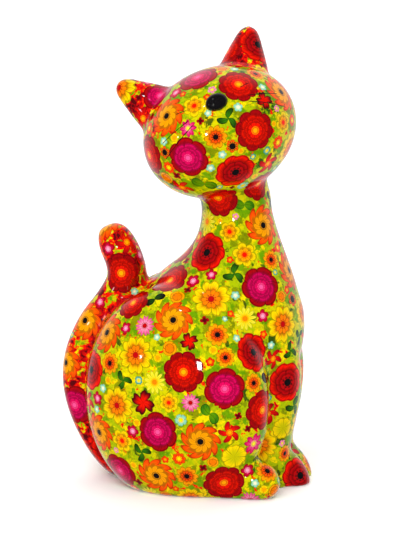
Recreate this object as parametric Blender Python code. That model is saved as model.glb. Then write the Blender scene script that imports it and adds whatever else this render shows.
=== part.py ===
"""Cat coin bank: a hollow, slip-cast cat that sits with its head turned and tilted.

It has a coin slot down its nape and a rubber stopper in its underside. Metres, +Z up, +X is where
the chest points, +Y is the cat's left. The origin is on the table, under the middle of the cat.
"""

import math

import bmesh
import bpy
from mathutils import Matrix, Vector

# Driving dimensions
HEIGHT = 0.230
WALL = 0.004
SLOT_LENGTH = 0.033
SLOT_WIDTH = 0.0054
SLOT_ROUNDING = 0.49
HOLE_RADIUS = 0.0165
RECESS_DEPTH = 0.0045
RECESS_CLEARANCE = 0.0015
STOPPER_LIP = 0.003
STOPPER_FLANGE = 0.0024
STOPPER_BEAD = 0.0012
STOPPER_BEAD_HEIGHT = 0.0025
PULL_TAB_LENGTH = 0.014
PULL_TAB_WIDTH = 0.004
PULL_TAB_HEIGHT = 0.0012
FIT_GAP = 0.0003

# The forms below are drawn in millimetres for a cat of this height, and scaled to HEIGHT
DRAWN_HEIGHT = 228.5
UNIT = HEIGHT / DRAWN_HEIGHT

# Torso and neck: height, back edge, chest edge and half width of each level section
TORSO = (
    (-8.0, -30.0, 37.0, 28.0),
    (0.0, -36.5, 41.0, 32.0),
    (12.0, -44.0, 43.0, 36.0),
    (30.0, -49.5, 43.5, 38.5),
    (50.0, -49.5, 49.8, 38.5),
    (70.0, -44.2, 56.2, 39.0),
    (86.0, -35.0, 56.9, 37.0),
    (99.0, -24.4, 53.4, 33.2),
    (108.0, -14.2, 50.6, 28.6),
    (117.0, -3.4, 47.4, 23.8),
    (127.0, 3.0, 43.8, 20.5),
    (138.0, 5.0, 40.6, 18.0),
    (150.0, 4.0, 39.0, 17.5),
    (164.0, 6.0, 33.0, 15.0),
)

# Head: an egg on the neck, its long axis from ear to ear
HEAD_CENTRE = (14.7, -6.0, 178.9)
HEAD_RADII = (33.5, 39.2, 31.8)
HEAD_TURN = math.radians(84.0)
HEAD_NOD = math.radians(26.0)
HEAD_TILT = math.radians(24.5)

# In the head's own axes: +X out of the face, +Y to the cat's left ear, +Z to the crown
EAR_ROOT = (2.0, 21.0, 19.0)
EAR_TIP = (2.0, 36.3, 43.6)
EAR_SECTIONS = (
    (0.00, 13.5, 9.0),
    (0.20, 12.6, 8.6),
    (0.40, 10.8, 7.8),
    (0.60, 8.6, 6.6),
    (0.80, 6.4, 5.2),
    (0.93, 4.4, 3.8),
    (1.00, 1.8, 1.8),
)
NOSE_CENTRE = (33.2, 0.0, 4.7)
NOSE_RADII = (3.0, 5.4, 4.2)

# Legs, haunches and paws, for the cat's left side
HAUNCH_CENTRE = (-5.2, 23.2, 49.0)
HAUNCH_RADII = (48.3, 25.0, 55.5)
HAUNCH_FULLNESS = 0.9
SPLAY = math.radians(15.0)
HIND_FOOT_CENTRE = (6.0, 25.5, 6.5)
HIND_FOOT_RADII = (36.0, 12.0, 12.0)
HIND_PAW_CENTRE = (31.4, 30.3, 7.6)
HIND_PAW_RADII = (17.0, 10.8, 11.8)
FORELEG = (
    (38.5, 9.0, 84.0, 14.0),
    (42.1, 9.5, 62.0, 14.0),
    (41.9, 9.5, 45.0, 13.8),
    (39.6, 9.0, 30.0, 13.4),
    (37.9, 8.5, 18.0, 13.1),
    (37.9, 8.0, -6.0, 13.1),
)
FOREPAW_CENTRE = (47.4, 6.8, 8.4)
FOREPAW_RADII = (17.5, 9.0, 9.2)
FOREPAW_SLOPE = math.radians(45.0)

# Tail: points up the middle of the back, with the radius at each
TAIL = (
    (-29.0, 1.0, 8.5),
    (-41.2, 12.4, 9.5),
    (-51.0, 28.0, 9.5),
    (-56.4, 45.0, 9.5),
    (-56.0, 61.0, 9.5),
    (-49.4, 77.0, 9.8),
    (-38.8, 91.0, 10.2),
    (-32.9, 102.5, 10.2),
    (-34.1, 112.5, 9.8),
    (-38.0, 121.0, 9.4),
    (-41.1, 127.0, 7.4),
    (-42.4, 130.0, 4.2),
)

# The coin slot runs down the nape between these two points of the back (along, up)
NAPE_LOW = (-8.6, 112.0)
NAPE_HIGH = (4.6, 143.0)
NAPE_HOLLOW = 5.5

# The middle of the stopper's hole, on the line from the paws to the tail
HOLE_PLACE = 10.0

# How the forms are fused and softened
VOXEL = HEIGHT / 130
SOFTEN_STEPS = 9
OUTSIDE_KEPT = 0.09
INSIDE_KEPT = 0.05
RING_POINTS = 40
CURVE_STEPS = 4
TURNED_STEPS = 40
SLOT_END_STEPS = 5
NOSE_POINTS = 14

# Finishes: linear colours and roughness
GLAZE_COLOR = (0.45, 0.42, 0.02)
GLAZE_ROUGHNESS = 0.08
RUBBER_COLOR = (0.03, 0.03, 0.03)
RUBBER_ROUGHNESS = 0.6


def clear_scene():
    """Removes every object that the file starts with."""
    for old in list(bpy.data.objects):
        bpy.data.objects.remove(old, do_unlink=True)


def drawn(values):
    """A point or a set of radii of the drawing, in metres at the real height."""
    return Vector(values) * UNIT


def mirrored(point, side):
    """The point on the cat's left for side 1, or its mirror image for side -1."""
    return Vector((point[0], side * point[1], point[2]))


def row_beyond(last, before):
    """The row that carries a curve on past its last row."""
    return [2 * a - b for a, b in zip(last, before)]


def row_between(four_rows, t):
    """The row at the share t of the way from the second row to the third, on a Catmull-Rom curve."""
    found = []
    for a, b, c, d in zip(*four_rows):
        bend = 2 * a - 5 * b + 4 * c - d
        turn = 3 * b - a - 3 * c + d
        found.append((2 * b + (c - a) * t + bend * t**2 + turn * t**3) / 2)
    return found


def curve_rows(rows):
    """Rows of numbers along a smooth curve through the rows given."""
    known = [row_beyond(rows[0], rows[1]), *rows, row_beyond(rows[-1], rows[-2])]
    found = []
    for i in range(len(rows) - 1):
        found += [row_between(known[i:i + 4], step / CURVE_STEPS) for step in range(CURVE_STEPS)]
    return [*found, list(rows[-1])]


def ring(centre, across, along):
    """Points of an ellipse round centre, with half axes given as vectors."""
    turns = [2 * math.pi * i / RING_POINTS for i in range(RING_POINTS)]
    return [centre + across * math.cos(turn) + along * math.sin(turn) for turn in turns]


def add_loft(bm, rings):
    """A closed form through the rings, capped at both ends."""
    loops = [[bm.verts.new(point) for point in points] for points in rings]
    for low, high in zip(loops, loops[1:]):
        for i in range(RING_POINTS):
            j = (i + 1) % RING_POINTS
            bm.faces.new((low[i], low[j], high[j], high[i]))
    bm.faces.new(reversed(loops[0]))
    bm.faces.new(loops[-1])


def add_ellipsoid(bm, centre, radii, axes=None, fullness=1.0, points=RING_POINTS):
    """A closed ellipsoid along the matrix's axes, squarer below its middle for a low fullness."""
    place = Matrix.Translation(centre) @ (axes or Matrix.Identity(4)) @ Matrix.Diagonal((*radii, 1.0))
    made = bmesh.ops.create_uvsphere(bm, u_segments=points, v_segments=points // 2, radius=1.0)
    for vert in made["verts"]:
        x, y, z = vert.co
        if z < 0.0:
            widen = max(math.hypot(x, y), 1e-6) ** (fullness - 1.0)
            x, y, z = x * widen, y * widen, -abs(z) ** fullness
        vert.co = place @ Vector((x, y, z))


def head_axes():
    """How the head is turned to the cat's right, raised and tilted."""
    turn = Matrix.Rotation(-HEAD_TURN, 4, "Z")
    nod = Matrix.Rotation(-HEAD_NOD, 4, "Y")
    tilt = Matrix.Rotation(HEAD_TILT, 4, "X")
    return turn @ nod @ tilt


def on_head(point, side=1):
    """A point given in the head's own axes, placed on the cat."""
    return drawn(HEAD_CENTRE) + head_axes() @ (mirrored(point, side) * UNIT)


def add_torso(bm, inset=0.0):
    """The pear of the body with its neck, made smaller all round by inset."""
    rings = []
    for height, back, chest, half_width in curve_rows(TORSO):
        centre = drawn(((back + chest) / 2, 0.0, height))
        depth = max((chest - back) / 2 * UNIT - inset, VOXEL)
        width = max(half_width * UNIT - inset, VOXEL)
        rings.append(ring(centre, Vector((depth, 0, 0)), Vector((0, width, 0))))
    add_loft(bm, rings)


def add_head(bm, inset=0.0):
    """The egg of the head."""
    add_ellipsoid(bm, drawn(HEAD_CENTRE), drawn(HEAD_RADII) - Vector((inset,) * 3), head_axes())


def add_haunches(bm, inset=0.0):
    """The two round thighs."""
    for side in (-1, 1):
        splay = Matrix.Rotation(side * SPLAY, 4, "Z")
        radii = drawn(HAUNCH_RADII) - Vector((inset,) * 3)
        add_ellipsoid(bm, mirrored(drawn(HAUNCH_CENTRE), side), radii, splay, HAUNCH_FULLNESS)


def add_ears(bm):
    """Two solid ears: blunt cones that lean out from the crown."""
    front = head_axes() @ Vector((1, 0, 0))
    for side in (-1, 1):
        root, tip = on_head(EAR_ROOT, side), on_head(EAR_TIP, side)
        wide = (tip - root).cross(front).normalized()
        add_loft(bm, [
            ring(root.lerp(tip, share), wide * half_width * UNIT, -front * half_depth * UNIT)
            for share, half_width, half_depth in curve_rows(EAR_SECTIONS)
        ])


def add_legs(bm):
    """Forelegs down from the chest, hind feet under the thighs, and the four paws."""
    for side in (-1, 1):
        rings = []
        for x, y, z, radius in curve_rows(FORELEG):
            centre = mirrored(drawn((x, y, z)), side)
            rings.append(ring(centre, drawn((radius, 0, 0)), drawn((0, -radius, 0))))
        add_loft(bm, rings)
        slope = Matrix.Rotation(FOREPAW_SLOPE, 4, "Y")
        add_ellipsoid(bm, mirrored(drawn(FOREPAW_CENTRE), side), drawn(FOREPAW_RADII), slope)
        splay = Matrix.Rotation(side * SPLAY, 4, "Z")
        add_ellipsoid(bm, mirrored(drawn(HIND_FOOT_CENTRE), side), drawn(HIND_FOOT_RADII), splay)
        add_ellipsoid(bm, mirrored(drawn(HIND_PAW_CENTRE), side), drawn(HIND_PAW_RADII), splay)


def add_tail(bm):
    """The solid tail, which climbs the back and stands free at its tip."""
    rows = curve_rows(TAIL)
    rings = []
    for i, (x, z, radius) in enumerate(rows):
        before, after = rows[max(i - 1, 0)], rows[min(i + 1, len(rows) - 1)]
        along = Vector((after[0] - before[0], 0, after[1] - before[1])).normalized()
        out = Vector((0, 1, 0)).cross(along)
        rings.append(ring(drawn((x, 0, z)), out * radius * UNIT, drawn((0, radius, 0))))
    add_loft(bm, rings)


def new_object(name, bm, parent=None):
    """An object in the scene that holds the mesh."""
    bmesh.ops.recalc_face_normals(bm, faces=bm.faces)
    mesh = bpy.data.meshes.new(name)
    bm.to_mesh(mesh)
    bm.free()
    made = bpy.data.objects.new(name, mesh)
    made.parent = parent
    bpy.context.scene.collection.objects.link(made)
    return made


def turned(name, profile, parent):
    """A form turned about the upright line through the hole, from its outline of (radius, height)."""
    bm = bmesh.new()
    corners = [bm.verts.new((radius, 0, height)) for radius, height in profile]
    edges = [bm.edges.new(pair) for pair in zip(corners, corners[1:])]
    bmesh.ops.spin(
        bm, geom=corners + edges, axis=(0, 0, 1), cent=(0, 0, 0), angle=2 * math.pi, steps=TURNED_STEPS,
        use_merge=True,
    )
    bmesh.ops.remove_doubles(bm, verts=bm.verts, dist=FIT_GAP / 10)
    bmesh.ops.translate(bm, verts=bm.verts, vec=drawn((HOLE_PLACE, 0, 0)))
    return new_object(name, bm, parent)


def fuse(obj, kept):
    """Fuses the overlapping forms into one soft skin, and keeps that share of its faces."""
    remesh = obj.modifiers.new("fuse", "REMESH")
    remesh.mode = "VOXEL"
    remesh.voxel_size = VOXEL
    soften = obj.modifiers.new("soften", "SMOOTH")
    soften.factor = 0.5
    soften.iterations = SOFTEN_STEPS
    thin = obj.modifiers.new("thin_out", "DECIMATE")
    thin.ratio = kept


def combine(obj, other, operation):
    """Cuts the other form out of the object, or joins it on, and keeps the other only as a guide."""
    modifier = obj.modifiers.new(other.name, "BOOLEAN")
    modifier.operation = operation
    modifier.solver = "EXACT"
    modifier.object = other
    other.hide_render = True
    other.display_type = "WIRE"


def slab_below(name, height, parent):
    """A form that holds everything below the height."""
    bm = bmesh.new()
    size = 4 * HEIGHT
    place = Matrix.Translation((0, 0, height - size / 2)) @ Matrix.Scale(size, 4)
    bmesh.ops.create_cube(bm, size=1.0, matrix=place)
    return new_object(name, bm, parent)


def skin_form(parent):
    """The outside of the cat, cut off flat where it stands, with its nose on."""
    bm = bmesh.new()
    add_torso(bm)
    add_head(bm)
    add_haunches(bm)
    add_ears(bm)
    add_legs(bm)
    add_tail(bm)
    body = new_object("cat_body", bm, parent)
    fuse(body, OUTSIDE_KEPT)
    combine(body, slab_below("table_cut", 0.0, parent), "DIFFERENCE")
    nose = bmesh.new()
    add_ellipsoid(nose, on_head(NOSE_CENTRE), drawn(NOSE_RADII), head_axes(), points=NOSE_POINTS)
    combine(body, new_object("nose_button", nose, parent), "UNION")
    return body


def hollow_form(parent):
    """The hollow inside: torso, thighs, neck and head, over a floor that is raised round the hole."""
    bm = bmesh.new()
    add_torso(bm, WALL)
    add_head(bm, WALL)
    add_haunches(bm, WALL)
    hollow = new_object("hollow", bm, parent)
    fuse(hollow, INSIDE_KEPT)
    combine(hollow, slab_below("floor_cut", WALL, parent), "DIFFERENCE")
    top = RECESS_DEPTH + WALL
    reach = recess_radius() + WALL
    boss = turned("floor_boss", ((0, -WALL), (reach, -WALL), (reach, top), (0, top)), parent)
    combine(hollow, boss, "DIFFERENCE")
    return hollow


def recess_radius():
    """The dish in the underside takes the stopper's flange with clearance round it."""
    return HOLE_RADIUS + STOPPER_LIP + RECESS_CLEARANCE


def hole_form(parent):
    """The dish in the underside and the round hole through the floor above it."""
    below = -RECESS_DEPTH
    above = RECESS_DEPTH + 2 * WALL
    dish = recess_radius()
    return turned("stopper_hole", (
        (0, below),
        (dish, below),
        (dish, RECESS_DEPTH),
        (HOLE_RADIUS, RECESS_DEPTH),
        (HOLE_RADIUS, above),
        (0, above),
    ), parent)


def slot_form(parent):
    """The coin slot: a flat bar with round ends, sunk through the nape into the neck."""
    low = drawn((NAPE_LOW[0], 0, NAPE_LOW[1]))
    high = drawn((NAPE_HIGH[0], 0, NAPE_HIGH[1]))
    along = (high - low).normalized()
    inward = Vector((along.z, 0, -along.x))
    side = along.cross(inward)
    outside = WALL + NAPE_HOLLOW * UNIT
    inside = 2 * WALL + NAPE_HOLLOW * UNIT
    bm = bmesh.new()
    size = Matrix.Diagonal((outside + inside, SLOT_WIDTH, SLOT_LENGTH, 1.0))
    bmesh.ops.create_cube(bm, size=1.0, matrix=size)
    corners = [edge for edge in bm.edges if abs(edge.verts[0].co.x - edge.verts[1].co.x) > SLOT_WIDTH]
    bmesh.ops.bevel(
        bm, geom=corners, offset=SLOT_WIDTH * SLOT_ROUNDING, segments=SLOT_END_STEPS, profile=0.5,
        affect="EDGES",
    )
    turn = Matrix((inward, side, along)).transposed().to_4x4()
    middle = (low + high) / 2 + inward * (inside - outside) / 2
    bmesh.ops.transform(bm, matrix=Matrix.Translation(middle) @ turn, verts=bm.verts)
    return new_object("coin_slot", bm, parent)


def stopper_form(parent):
    """The rubber stopper: a flange in the dish, a neck in the hole and a bead that holds above it."""
    ledge = RECESS_DEPTH - FIT_GAP
    flange_low = ledge - STOPPER_FLANGE
    bead_low = RECESS_DEPTH + WALL + FIT_GAP
    bead_high = bead_low + STOPPER_BEAD_HEIGHT
    neck = HOLE_RADIUS - FIT_GAP
    flange = HOLE_RADIUS + STOPPER_LIP
    bead = neck + STOPPER_BEAD
    soft = STOPPER_FLANGE / 3
    stopper = turned("stopper", (
        (0, flange_low),
        (flange - soft, flange_low),
        (flange, flange_low + soft),
        (flange, ledge),
        (neck, ledge),
        (neck, bead_low),
        (bead, bead_low),
        (bead, bead_low + STOPPER_BEAD_HEIGHT / 2),
        (neck, bead_high),
        (0, bead_high),
    ), parent)
    bm = bmesh.new()
    tab = Matrix.Diagonal((PULL_TAB_WIDTH, PULL_TAB_LENGTH, 2 * PULL_TAB_HEIGHT, 1.0))
    place = Matrix.Translation(drawn((HOLE_PLACE, 0, 0)) + Vector((0, 0, flange_low)))
    bmesh.ops.create_cube(bm, size=1.0, matrix=place @ tab)
    combine(stopper, new_object("pull_tab", bm, parent), "UNION")
    return stopper


def finish(obj, name, color, roughness):
    """Gives the object its material and soft shading."""
    material = bpy.data.materials.new(name)
    material.use_nodes = True
    shader = material.node_tree.nodes["Principled BSDF"]
    shader.inputs["Base Color"].default_value = (*color, 1.0)
    shader.inputs["Roughness"].default_value = roughness
    shader.inputs["Metallic"].default_value = 0.0
    obj.data.materials.append(material)
    obj.data.shade_smooth()


def middle_of_length():
    """Half way from the back of the tail to the tips of the forepaws."""
    length, _, depth = FOREPAW_RADII
    reach = math.hypot(length * math.cos(FOREPAW_SLOPE), depth * math.sin(FOREPAW_SLOPE))
    front = FOREPAW_CENTRE[0] + reach
    back = min(x - radius for x, z, radius in TAIL)
    return (front + back) / 2 * UNIT


def main():
    """Builds the cat and its stopper."""
    clear_scene()
    cat = bpy.data.objects.new("cat_coin_bank", None)
    bpy.context.scene.collection.objects.link(cat)
    cat.location.x = -middle_of_length()
    body = skin_form(cat)
    for cutter in (hollow_form(cat), slot_form(cat), hole_form(cat)):
        combine(body, cutter, "DIFFERENCE")
    finish(body, "glazed_earthenware", GLAZE_COLOR, GLAZE_ROUGHNESS)
    finish(stopper_form(cat), "stopper_rubber", RUBBER_COLOR, RUBBER_ROUGHNESS)


main()
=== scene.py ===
"""The looks of a cat coin bank: a hollow, slip-cast cat with a flower print under a clear gloss glaze.

Metres, +Z up, +X is where the chest points, +Y is the cat's left. The forms are drawn in millimetres
and scaled to the cat's height, in the same way as the solid that they stand for.
"""

from __future__ import annotations

import logging
import math
from dataclasses import dataclass, field
from enum import Enum
from functools import partialmethod
from typing import Any, Iterable, Sequence

import bmesh
import bpy
import numpy as np
from bmesh.types import BMesh
from bpy.types import Material, Mesh, NodeSocket, NodeTree, Object
from mathutils import Matrix, Vector, kdtree


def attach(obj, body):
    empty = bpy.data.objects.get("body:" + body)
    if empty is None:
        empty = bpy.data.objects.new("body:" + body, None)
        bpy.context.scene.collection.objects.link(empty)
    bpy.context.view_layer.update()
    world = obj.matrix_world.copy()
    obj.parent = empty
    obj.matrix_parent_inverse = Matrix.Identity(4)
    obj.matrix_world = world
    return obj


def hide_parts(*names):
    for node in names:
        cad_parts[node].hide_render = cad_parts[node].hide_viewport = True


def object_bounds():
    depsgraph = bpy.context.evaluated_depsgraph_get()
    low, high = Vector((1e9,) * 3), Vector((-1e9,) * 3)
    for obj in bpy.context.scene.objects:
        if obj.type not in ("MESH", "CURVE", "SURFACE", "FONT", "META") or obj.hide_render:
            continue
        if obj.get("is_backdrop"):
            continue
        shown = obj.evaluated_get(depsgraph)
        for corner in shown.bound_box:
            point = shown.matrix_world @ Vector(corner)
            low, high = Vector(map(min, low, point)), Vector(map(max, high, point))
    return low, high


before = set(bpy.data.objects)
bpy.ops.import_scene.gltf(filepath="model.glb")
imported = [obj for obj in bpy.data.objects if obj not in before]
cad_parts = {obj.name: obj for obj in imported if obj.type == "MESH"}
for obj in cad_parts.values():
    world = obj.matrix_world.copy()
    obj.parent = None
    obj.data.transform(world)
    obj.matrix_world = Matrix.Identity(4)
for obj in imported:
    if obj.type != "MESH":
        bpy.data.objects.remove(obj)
CAD_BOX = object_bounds()

LOG = logging.getLogger("cat_coin_bank")

# The drawing: millimetres for a cat of this height, scaled to the real one
DRAWN_HEIGHT = 228.5
REAL_HEIGHT = 0.230
UNIT = REAL_HEIGHT / DRAWN_HEIGHT
MILLIMETRE = 0.001

# How finely the skin is modelled
SKIN_VOXEL = 1.2 * MILLIMETRE
HOLLOW_VOXEL = 2.4 * MILLIMETRE
RING_POINTS = 72
CURVE_STEPS = 6
TURNED_STEPS = 72

# What keeps a division away from zero
NEARLY_ZERO = 1e-9

# The inputs of Blender's Mix node when it mixes colours, and its output and settings then
FACTOR, UNDER, OVER = 0, 6, 7
COLORS = {"output": 2, "data_type": "RGBA"}

# The attribute that says how red the print is
WARMTH = "print_warmth"

Pair = tuple[float, float]
Point = tuple[float, float, float]
Rows = tuple[tuple[float, ...], ...]
Color = tuple[float, float, float, float]


class Slot(Enum):
    """The record's material slots."""

    BODY = "glazed_body"
    STOPPER = "stopper_rubber"


class Side(Enum):
    """The two sides of the cat, as the sign of Y."""

    LEFT = 1
    RIGHT = -1


class Paint(Enum):
    """The printer's colours, as sRGB hex values."""

    SCARLET = "F01400"
    VERMILION = "FC4A00"
    CRIMSON = "B4040A"
    MAROON = "56040A"
    MAGENTA = "E0045A"
    ROSE = "F04E8E"
    BLUSH = "F79CB8"
    ORANGE = "FC7C00"
    AMBER = "FDA400"
    YELLOW = "F8D600"
    LEMON = "F0E636"
    CREAM = "FBF1C4"
    LIME = "A2B400"
    CHARTREUSE = "CEC400"
    OLIVE = "748000"
    GRASS = "5C9400"
    LEAF = "347808"
    FOREST = "1C4208"
    MINT = "8ED4B4"
    TEAL = "3FA088"
    INK = "0E0C0E"

    def linear(self) -> Color:
        """The colour in linear light."""
        return linear(self.value)


def linear(code: str) -> Color:
    """Turns an sRGB hex value to linear light.

    Args:
        code: Six hex digits.

    Returns:
        Red, green, blue and an alpha of 1.
    """
    shares = [int(code[i:i + 2], 16) / 255 for i in (0, 2, 4)]
    light = [s / 12.92 if s <= 0.04045 else ((s + 0.055) / 1.055) ** 2.4 for s in shares]
    return (*light, 1.0)


def add_node(
    tree: NodeTree, kind: str, inputs: dict | None = None, output: int | str = 0, **settings: Any
) -> NodeSocket | None:
    """Adds a node with its settings, values and links.

    Args:
        tree: The tree that takes the node.
        kind: The node's type.
        inputs: A value, a socket or a Signal for each input, by name or number.
        output: The output that is wanted, by name or number.
        **settings: The node's own properties.

    Returns:
        That output's socket, or None where the node has none.
    """
    node = tree.nodes.new(kind)
    for name, value in settings.items():
        setattr(node, name, value)
    for name, value in (inputs or {}).items():
        value = value.socket if isinstance(value, Signal) else value
        if isinstance(value, NodeSocket):
            tree.links.new(value, node.inputs[name])
        else:
            node.inputs[name].default_value = value
    return node.outputs[output] if len(node.outputs) else None


@dataclass(frozen=True)
class Signal:
    """A number that a node gives out. Arithmetic on it adds Math nodes."""

    tree: NodeTree
    socket: NodeSocket

    def math(self, operation: str, *others: Signal | float) -> Signal:
        """This number and the others through one Math node."""
        inputs = dict(enumerate((self, *others)))
        return Signal(self.tree, add_node(self.tree, "ShaderNodeMath", inputs, operation=operation))

    def rising(self, low: Signal | float, high: Signal | float) -> Signal:
        """0 up to low, 1 from high on, and a smooth step between."""
        inputs = {0: self, 1: low, 2: high, 3: 0.0, 4: 1.0}
        made = add_node(self.tree, "ShaderNodeMapRange", inputs, interpolation_type="SMOOTHSTEP")
        return Signal(self.tree, made)

    def falling(self, low: Signal | float, high: Signal | float) -> Signal:
        """1 up to low, 0 from high on, and a smooth step between."""
        return 1.0 - self.rising(low, high)

    def __rsub__(self, other: float) -> Signal:
        """A plain number less this one."""
        return (self * -1.0) + other

    __add__ = partialmethod(math, "ADD")
    __sub__ = partialmethod(math, "SUBTRACT")
    __mul__ = partialmethod(math, "MULTIPLY")
    __truediv__ = partialmethod(math, "DIVIDE")
    __pow__ = partialmethod(math, "POWER")
    __abs__ = partialmethod(math, "ABSOLUTE")


def shaded(tree: NodeTree, color: NodeSocket | Color, amount: Signal) -> NodeSocket:
    """A colour made deeper, by an amount up to 1."""
    keep = add_node(tree, "ShaderNodeCombineColor", dict.fromkeys(range(3), 1.0 - amount))
    inputs = {FACTOR: 1.0, UNDER: color, OVER: keep}
    return add_node(tree, "ShaderNodeMix", inputs, **COLORS, blend_type="MULTIPLY")


@dataclass
class Finish:
    """A material in the making: it starts with nothing but the object's own coordinates."""

    name: str
    material: Material = field(init=False)
    tree: NodeTree = field(init=False)
    place: NodeSocket = field(init=False)

    def __post_init__(self) -> None:
        """Makes the material."""
        self.material = bpy.data.materials.new(self.name)
        self.material.use_nodes = True
        self.tree = self.material.node_tree
        self.tree.nodes.clear()
        self.place = add_node(self.tree, "ShaderNodeTexCoord", output="Object")

    def close(self, relief: Signal | NodeSocket, depth: float, strength: float, **inputs: Any) -> Material:
        """Adds the shader, with the relief that the finish has.

        Args:
            relief: The pattern of the relief, from 0 to 1.
            depth: How deep it is, in metres.
            strength: How much of it shows.
            **inputs: The shader's other inputs, with an underscore for each space.

        Returns:
            The material.
        """
        bump = {"Height": relief, "Distance": depth, "Strength": strength}
        inputs["Normal"] = add_node(self.tree, "ShaderNodeBump", bump)
        named = {name.replace("_", " "): value for name, value in inputs.items()}
        shader = add_node(self.tree, "ShaderNodeBsdfPrincipled", named)
        add_node(self.tree, "ShaderNodeOutputMaterial", {"Surface": shader})
        return self.material


def drawn(values: Iterable[float]) -> Vector:
    """A point or a set of radii of the drawing, in metres at the real height."""
    return Vector(tuple(values)) * UNIT


def mirrored(point: Iterable[float], side: Side) -> Vector:
    """The point of the cat's left, or its mirror image on the right."""
    x, y, z = point
    return Vector((x, side.value * y, z))


def smooth_rows(rows: Rows) -> list[list[float]]:
    """Rows of numbers along a Catmull-Rom curve through the rows given.

    Args:
        rows: The rows that the curve passes through.

    Returns:
        Those rows with more between them.
    """
    first = [2 * a - b for a, b in zip(rows[0], rows[1])]
    last = [2 * a - b for a, b in zip(rows[-1], rows[-2])]
    known = [first, *rows, last]
    found = []
    for i in range(1, len(known) - 2):
        for step in range(CURVE_STEPS):
            t = step / CURVE_STEPS
            found.append([
                0.5 * (
                    2 * b + (c - a) * t + (2 * a - 5 * b + 4 * c - d) * t * t
                    + (3 * b - a - 3 * c + d) * t**3
                )
                for a, b, c, d in zip(*known[i - 1:i + 3])
            ])
    return [*found, list(rows[-1])]


def ring(centre: Vector, across: Vector, along: Vector) -> list[Vector]:
    """Points of an ellipse.

    Args:
        centre: Its middle.
        across: One half axis.
        along: The other half axis.

    Returns:
        The points, in order.
    """
    turns = [2 * math.pi * i / RING_POINTS for i in range(RING_POINTS)]
    return [centre + across * math.cos(turn) + along * math.sin(turn) for turn in turns]


def add_loft(bm: BMesh, rings: Sequence[Sequence[Vector]]) -> None:
    """Adds a closed form through the rings, capped at both ends."""
    loops = [[bm.verts.new(point) for point in points] for points in rings]
    for low, high in zip(loops, loops[1:]):
        for i in range(RING_POINTS):
            j = (i + 1) % RING_POINTS
            bm.faces.new((low[i], low[j], high[j], high[i]))
    bm.faces.new(reversed(loops[0]))
    bm.faces.new(loops[-1])


def add_ellipsoid(
    bm: BMesh,
    centre: Vector,
    radii: Vector,
    axes: Matrix | None = None,
    fullness: float = 1.0,
) -> None:
    """Adds a closed ellipsoid.

    Args:
        bm: The mesh that takes it.
        centre: Its middle.
        radii: Its half axes.
        axes: How it is turned.
        fullness: Under 1, it is squarer below its middle.
    """
    place = Matrix.Translation(centre) @ (axes or Matrix.Identity(4)) @ Matrix.Diagonal((*radii, 1.0))
    made = bmesh.ops.create_uvsphere(bm, u_segments=RING_POINTS, v_segments=RING_POINTS // 2, radius=1.0)
    for vert in made["verts"]:
        x, y, z = vert.co
        if z < 0.0:
            widen = max(math.hypot(x, y), NEARLY_ZERO) ** (fullness - 1.0)
            x, y, z = x * widen, y * widen, -abs(z) ** fullness
        vert.co = place @ Vector((x, y, z))


def new_object(name: str, bm: BMesh, finish: Material | None = None) -> Object:
    """Turns a bmesh into an object of the scene.

    Args:
        name: The object's name.
        bm: Its mesh, which is freed.
        finish: Its material.

    Returns:
        The object.
    """
    bmesh.ops.recalc_face_normals(bm, faces=bm.faces)
    mesh = bpy.data.meshes.new(name)
    bm.to_mesh(mesh)
    bm.free()
    if finish:
        mesh.materials.append(finish)
    made = bpy.data.objects.new(name, mesh)
    bpy.context.scene.collection.objects.link(made)
    return made


def settle(obj: Object) -> None:
    """Applies the object's modifiers to its mesh."""
    graph = bpy.context.evaluated_depsgraph_get()
    mesh = bpy.data.meshes.new_from_object(obj.evaluated_get(graph), depsgraph=graph)
    obj.modifiers.clear()
    old, obj.data = obj.data, mesh
    bpy.data.meshes.remove(old)


def fuse(obj: Object, voxel: float, softness: int) -> None:
    """Fuses overlapping forms into one soft skin.

    Args:
        obj: The object that holds the forms.
        voxel: How fine the skin's mesh is.
        softness: How many times it is smoothed.
    """
    remesh = obj.modifiers.new("fuse", "REMESH")
    remesh.mode = "VOXEL"
    remesh.voxel_size = voxel
    soften = obj.modifiers.new("soften", "SMOOTH")
    soften.factor = 0.5
    soften.iterations = softness
    settle(obj)


def combine(obj: Object, other: Object, operation: str = "DIFFERENCE") -> None:
    """Cuts the other form out of the object, or joins it on, and removes the other.

    Args:
        obj: The object that is changed.
        other: The form. The new faces take its material, or else the object's.
        operation: The Boolean operation.
    """
    if not other.data.materials:
        for finish in obj.data.materials:
            other.data.materials.append(finish)
    modifier = obj.modifiers.new("cut", "BOOLEAN")
    modifier.operation = operation
    modifier.solver = "EXACT"
    modifier.material_mode = "TRANSFER"
    modifier.object = other
    settle(obj)
    bpy.data.objects.remove(other)


def slab_below(height: float) -> Object:
    """A form that holds everything below the height."""
    bm = bmesh.new()
    size = 4 * REAL_HEIGHT
    place = Matrix.Translation((0, 0, height - size / 2)) @ Matrix.Scale(size, 4)
    bmesh.ops.create_cube(bm, size=1.0, matrix=place)
    return new_object("slab", bm)


def turned(name: str, profile: Sequence[Pair], centre: Vector) -> Object:
    """A form turned about an upright line.

    Args:
        name: The object's name.
        profile: Its outline as (radius, height).
        centre: A point of the line, at height 0.

    Returns:
        The object.
    """
    bm = bmesh.new()
    corners = [bm.verts.new((radius, 0, height)) for radius, height in profile]
    edges = [bm.edges.new(pair) for pair in zip(corners, corners[1:])]
    bmesh.ops.spin(
        bm, geom=corners + edges, axis=(0, 0, 1), cent=(0, 0, 0), angle=2 * math.pi, steps=TURNED_STEPS,
        use_merge=True,
    )
    bmesh.ops.remove_doubles(bm, verts=bm.verts, dist=0.01 * MILLIMETRE)
    bmesh.ops.translate(bm, verts=bm.verts, vec=centre)
    return new_object(name, bm)


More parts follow.
